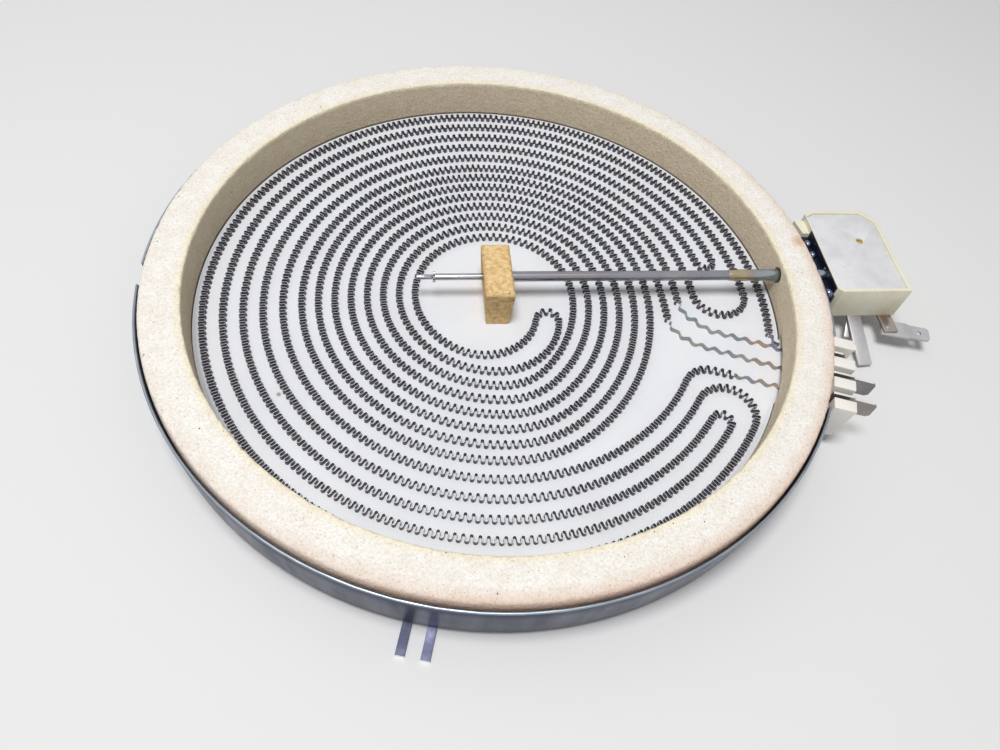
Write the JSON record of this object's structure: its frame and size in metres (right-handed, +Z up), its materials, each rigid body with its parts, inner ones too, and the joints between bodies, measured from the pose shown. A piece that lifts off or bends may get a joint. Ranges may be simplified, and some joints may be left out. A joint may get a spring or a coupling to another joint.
{
  "type": "radiant surface element",
  "caption": "Round radiant surface element: steel pan, pressed insulation ring, meandering heating ribbons, a tube-type temperature limiter, terminal block and push-on tabs.",
  "frame": {"origin": "the centre of the pan's flat underside", "axes": "+Z points up, out of the bowl towards the glass; +X runs along the limiter's tube from the middle to its switch head, which is the longest way across; +Y completes the right-handed frame"},
  "size_m": [0.2511, 0.221, 0.0217],
  "materials": {
    "pan_steel": "satin",
    "base_insulation": "matte",
    "ring_insulation": "matte",
    "block_insulation": "matte",
    "heating_ribbon": "oxidised",
    "lead_ribbon": "oxidised",
    "tube_steel": "satin",
    "sleeve_steel": "satin",
    "rod_steel": "satin",
    "steatite": "satin",
    "cover_plate": "matte",
    "brass": "satin",
    "bracket_steel": "satin",
    "rivet_steel": "polished",
    "spring_steel": "satin",
    "tab_steel": "satin"
  },
  "bodies": {
    "root": {"pan": "pan_steel", "front_fork": "pan_steel", "rear_fork": "pan_steel", "base_insulation": "base_insulation", "ring_insulation": "ring_insulation", "centre_block": "block_insulation", "inner_coil": "heating_ribbon", "outer_coil": "heating_ribbon", "lead_1": "lead_ribbon", "lead_2": "lead_ribbon", "lead_3": "lead_ribbon", "lead_4": "lead_ribbon", "limiter_tube": "tube_steel", "limiter_sleeve": "sleeve_steel", "limiter_rod": "rod_steel", "rod_collar": "rod_steel", "limiter_housing": "steatite", "terminal_block": "steatite", "limiter_cover": "cover_plate", "adjusting_screw": "brass", "limiter_bracket": "bracket_steel", "bracket_rivets": "rivet_steel", "limit_switch_spring": "spring_steel", "warning_switch_spring": "spring_steel", "large_tab": "tab_steel", "large_tab_strap": "tab_steel", "small_tab": "tab_steel", "side_tab": "tab_steel", "terminal_tab_1": "tab_steel", "terminal_tab_2": "tab_steel", "terminal_tab_3": "tab_steel"}
  },
  "joints": []
}
